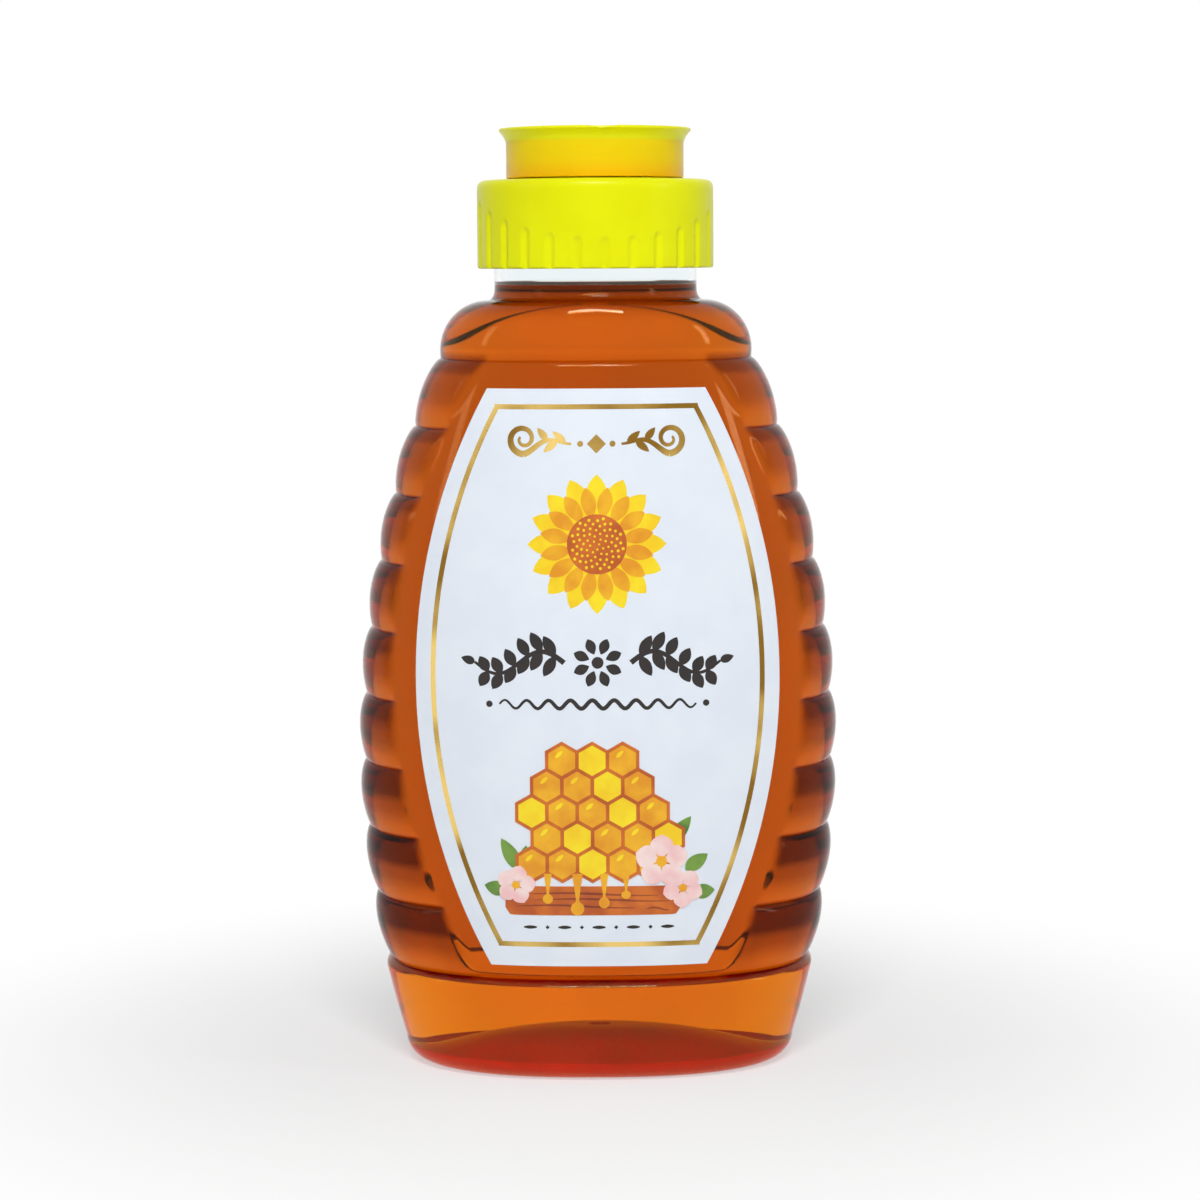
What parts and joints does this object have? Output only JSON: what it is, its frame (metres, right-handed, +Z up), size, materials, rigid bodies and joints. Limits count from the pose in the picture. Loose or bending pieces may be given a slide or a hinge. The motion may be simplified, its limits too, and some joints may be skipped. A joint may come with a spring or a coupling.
{
  "type": "honey bottle",
  "caption": "Oval squeeze bottle of honey with ribbed sides, a barrel-shaped front label and a screw-on closure with a slit valve and a flip lid.",
  "frame": {"origin": "middle of the stand ring, on the surface that the bottle stands on", "axes": "+Z up along the bottle's axis; the label faces -Y; +X is to the right of a viewer who faces the label"},
  "size_m": [0.0834, 0.052, 0.1619],
  "materials": {
    "clear_pet": "gloss",
    "honey": "gloss",
    "label_film": "satin",
    "yellow_closure": "satin",
    "yellow_lid": "satin",
    "yellow_hinge": "satin",
    "clear_silicone": "satin",
    "natural_retainer": "satin",
    "foam_liner": "matte"
  },
  "bodies": {
    "bottle": {"bottle_body": "clear_pet", "honey": "honey", "front_label": "label_film"},
    "liner": {"sealing_liner": "foam_liner"},
    "closure": {"closure_base": "yellow_closure", "silicone_valve": "clear_silicone", "valve_retainer": "natural_retainer"},
    "lid": {"flip_lid": "yellow_lid", "living_hinge": "yellow_hinge"}
  },
  "joints": [
    {"name": "closure_lift", "type": "slide", "parent": "bottle", "child": "liner", "axis": [0, 0, 1], "range_m": [0, 0.0065]},
    {"name": "closure_turn", "type": "hinge", "parent": "liner", "child": "closure", "pos_m": [0, 0, 0.15026], "axis": [0, 0, 1], "range_deg": [0, 540]},
    {"name": "lid_flip", "type": "hinge", "parent": "closure", "child": "lid", "pos_m": [-0.00136, 0.01695, 0.15361], "axis": [-0.9968, -0.0802, 0], "range_deg": [0, 130]}
  ],
  "couplings": [
    {"joint": "closure_lift", "follows": "closure_turn", "m_per_rad": 0.00067323}
  ]
}
